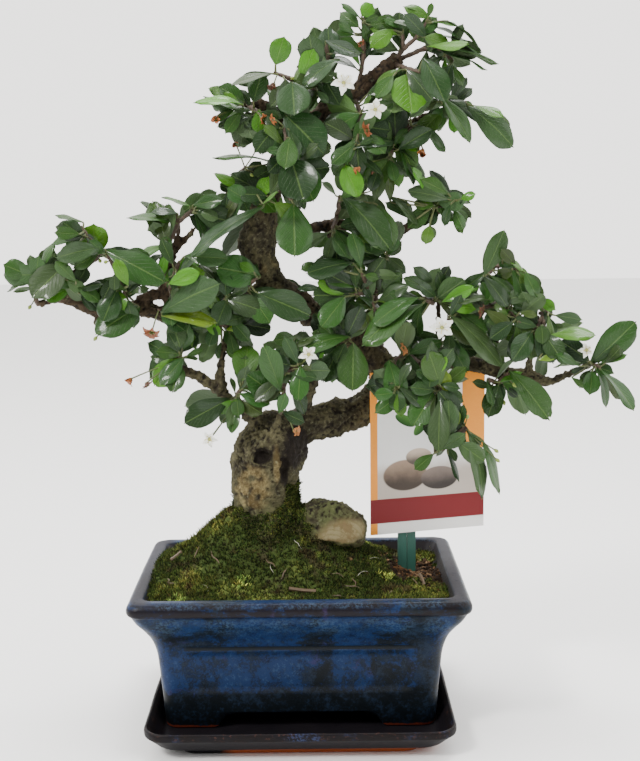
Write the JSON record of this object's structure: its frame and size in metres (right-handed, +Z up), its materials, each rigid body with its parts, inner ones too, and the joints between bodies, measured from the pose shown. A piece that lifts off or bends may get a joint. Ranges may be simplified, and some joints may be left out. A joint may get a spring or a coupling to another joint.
{
  "type": "bonsai tree in a pot",
  "caption": "Small flowering bonsai with a curved trunk and leafy shoots in a glazed rectangular pot on a drip saucer, with a plant label on a stake.",
  "frame": {"origin": "on the ground, under the middle of the pot and on the saucer's flat underside", "axes": "+Z up, +X to the right along the pot's long side, the front of the tree looks along -Y"},
  "size_m": [0.3791, 0.1634, 0.4375],
  "materials": {
    "blue_glaze": "gloss",
    "dark_glaze": "satin",
    "mesh_plastic": "matte",
    "soil": "matte",
    "moss": "matte",
    "bark": "matte",
    "leaf": "satin",
    "petal": "matte",
    "card": "gloss",
    "stake_plastic": "matte"
  },
  "bodies": {
    "root": {"drain_mesh_left": "mesh_plastic", "drain_mesh_right": "mesh_plastic", "flower_1": "petal", "flower_2": "petal", "flower_3": "petal", "flower_4": "petal", "flower_5": "petal", "flower_6": "petal", "label_card": "card", "label_stake": "stake_plastic", "moss": "moss", "pot": "blue_glaze", "saucer": "dark_glaze", "shoot_apex_drop": "leaf", "shoot_apex_right": "leaf", "shoot_apex_sprig": "leaf", "shoot_apex_tip": "leaf", "shoot_bole_front": "leaf", "shoot_branch_mid": "leaf", "shoot_branch_tip": "leaf", "shoot_card_left": "leaf", "shoot_card_low": "leaf", "shoot_card_top": "leaf", "shoot_centre": "leaf", "shoot_centre_behind": "leaf", "shoot_centre_top": "leaf", "shoot_crest_front": "leaf", "shoot_crest_left": "leaf", "shoot_crest_left_behind": "leaf", "shoot_crest_right": "leaf", "shoot_crest_right_behind": "leaf", "shoot_hang_left": "leaf", "shoot_left_elbow": "leaf", "shoot_left_end": "leaf", "shoot_left_inner": "leaf", "shoot_left_inner_behind": "leaf", "shoot_left_mid": "leaf", "shoot_left_top": "leaf", "shoot_left_up": "leaf", "shoot_limb_left": "leaf", "shoot_limb_left_behind": "leaf", "shoot_low_left": "leaf", "shoot_low_left_tip": "leaf", "shoot_red_branch": "leaf", "shoot_right_fall": "leaf", "shoot_right_fall_behind": "leaf", "shoot_right_low": "leaf", "shoot_right_mid": "leaf", "shoot_right_out": "leaf", "shoot_right_rise": "leaf", "shoot_right_tip": "leaf", "shoot_right_top": "leaf", "shoot_right_top_low": "leaf", "shoot_right_up": "leaf", "shoot_stub_top": "leaf", "shoot_upper_centre": "leaf", "shoot_upper_centre_behind": "leaf", "shoot_upper_left": "leaf", "soil": "soil", "trunk": "bark"}
  },
  "joints": []
}
